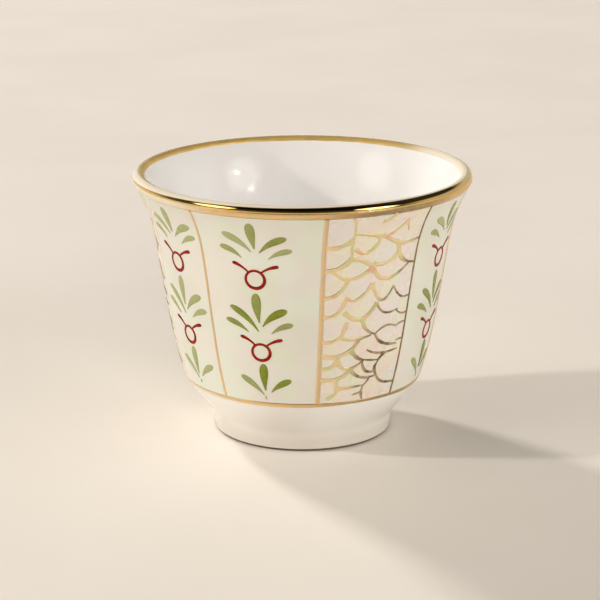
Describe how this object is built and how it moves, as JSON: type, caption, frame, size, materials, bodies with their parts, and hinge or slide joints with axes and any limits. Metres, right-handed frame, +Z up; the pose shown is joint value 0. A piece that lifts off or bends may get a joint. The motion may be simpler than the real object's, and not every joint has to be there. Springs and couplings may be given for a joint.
{
  "type": "arabic coffee cup",
  "caption": "Small handleless porcelain coffee cup with a flared gilt lip, a low foot ring and a painted wall of flower-spray and gold fish-scale panels.",
  "frame": {"origin": "centre of the foot's underside, on the surface that the cup stands on", "axes": "+Z up along the cup's axis of revolution; -Y towards the viewer of the picture; +X to the right"},
  "size_m": [0.0654, 0.0654, 0.0516],
  "materials": {
    "porcelain": "fine unglazed porcelain, smooth and matt, bare on the foot ring only",
    "glaze": "clear gloss glaze over white porcelain",
    "burnished_gold": "bright gold fired on the lip, mirror smooth with faint brush marks",
    "printed_gold": "thin gold line fired on the glaze, satin to bright",
    "pearl_lustre": "pearly cream to pink lustre ground, glossy",
    "pale_ground": "pale mint to cream ground, glossy",
    "green_enamel": "olive green enamel in brush strokes, thinner towards the tips, glossy",
    "red_enamel": "deep red enamel in fine lines, glossy"
  },
  "bodies": {
    "root": {"porcelain_body": "porcelain", "outer_glaze": "glaze", "inner_glaze": "glaze", "well_glaze": "glaze", "lip_gilding": "burnished_gold", "upper_gold_line": "printed_gold", "lower_gold_line": "printed_gold", "scale_ground_1": "pearl_lustre", "scale_ground_2": "pearl_lustre", "scale_ground_3": "pearl_lustre", "flower_ground_1": "pale_ground", "flower_ground_2": "pale_ground", "flower_ground_3": "pale_ground", "flower_ground_4": "pale_ground", "flower_ground_5": "pale_ground", "flower_ground_6": "pale_ground", "upright_line_1": "printed_gold", "upright_line_2": "printed_gold", "upright_line_3": "printed_gold", "upright_line_4": "printed_gold", "upright_line_5": "printed_gold", "upright_line_6": "printed_gold", "upright_line_7": "printed_gold", "upright_line_8": "printed_gold", "upright_line_9": "printed_gold", "leaf_spray_1": "green_enamel", "leaf_spray_2": "green_enamel", "leaf_spray_3": "green_enamel", "leaf_spray_4": "green_enamel", "leaf_spray_5": "green_enamel", "leaf_spray_6": "green_enamel", "red_rings_1": "red_enamel", "red_rings_2": "red_enamel", "red_rings_3": "red_enamel", "red_rings_4": "red_enamel", "red_rings_5": "red_enamel", "red_rings_6": "red_enamel", "scale_net_1": "printed_gold", "scale_net_2": "printed_gold", "scale_net_3": "printed_gold"}
  },
  "joints": []
}
